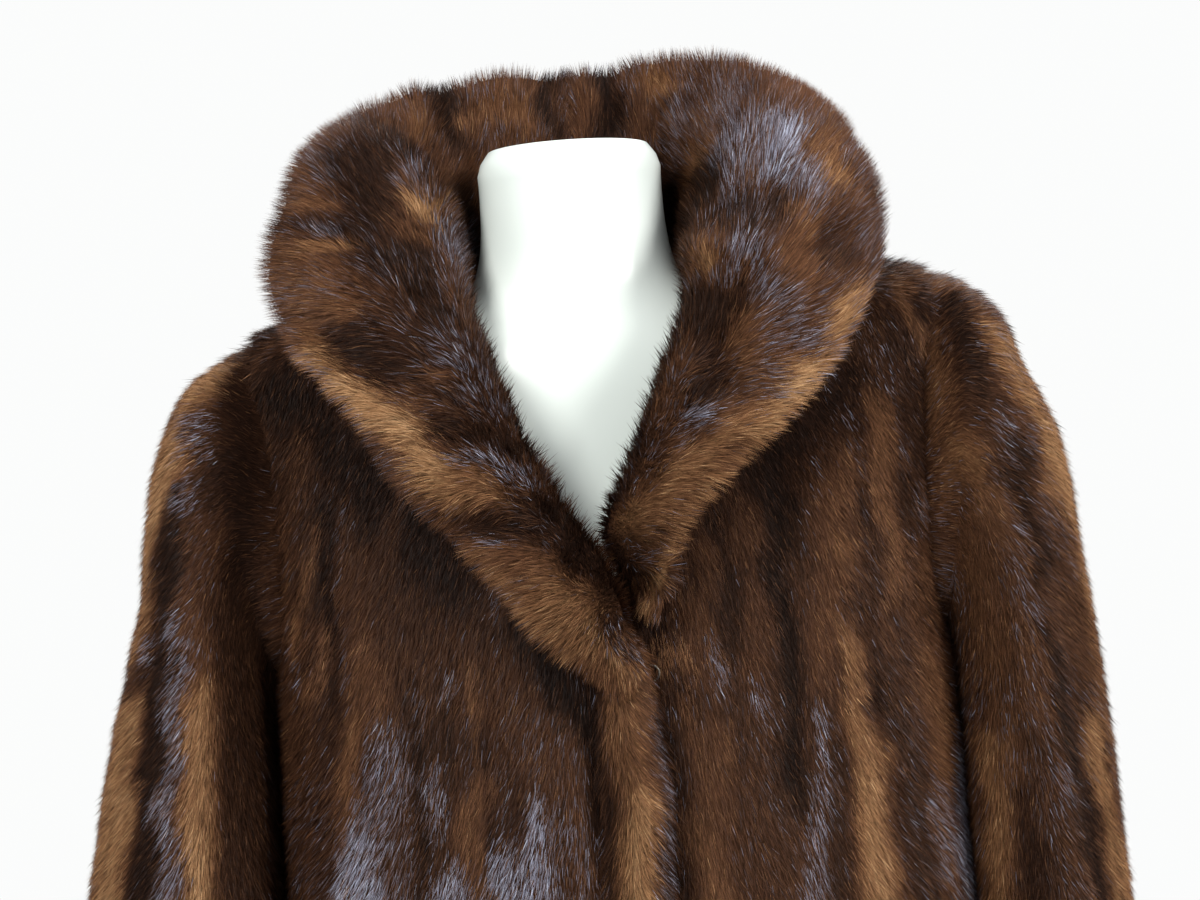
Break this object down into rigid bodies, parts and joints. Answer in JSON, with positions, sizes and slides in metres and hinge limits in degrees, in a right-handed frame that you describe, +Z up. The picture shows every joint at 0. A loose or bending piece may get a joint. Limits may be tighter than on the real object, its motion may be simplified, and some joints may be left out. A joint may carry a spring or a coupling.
{
  "type": "fur coat on a limbless dress form",
  "caption": "Long fur coat with a wide standing shawl collar, laid over in front and closed by a hook, worn by a limbless dress form on a round foot.",
  "frame": {"origin": "middle of the underside of the form's foot, on the floor", "axes": "+Z up, -Y the way the coat's front faces, +X towards the wearer's left"},
  "size_m": [0.665, 0.4481, 1.5652],
  "materials": {
    "fur": "glossy brown fur in lengthwise let-out strips, golden on their ridges and silvery where it catches the light",
    "form_shell": "glossy milk white",
    "steel": "brushed",
    "hook_metal": "bright bent wire"
  },
  "bodies": {
    "root": {"coat_back": "fur", "front_left": "fur", "front_right": "fur", "sleeve_left": "fur", "sleeve_right": "fur", "collar_left": "fur", "collar_right": "fur", "front_band": "fur", "form_torso": "form_shell", "form_pole": "steel", "form_base": "steel", "fur_hook": "hook_metal", "hook_eye": "hook_metal"}
  },
  "joints": []
}
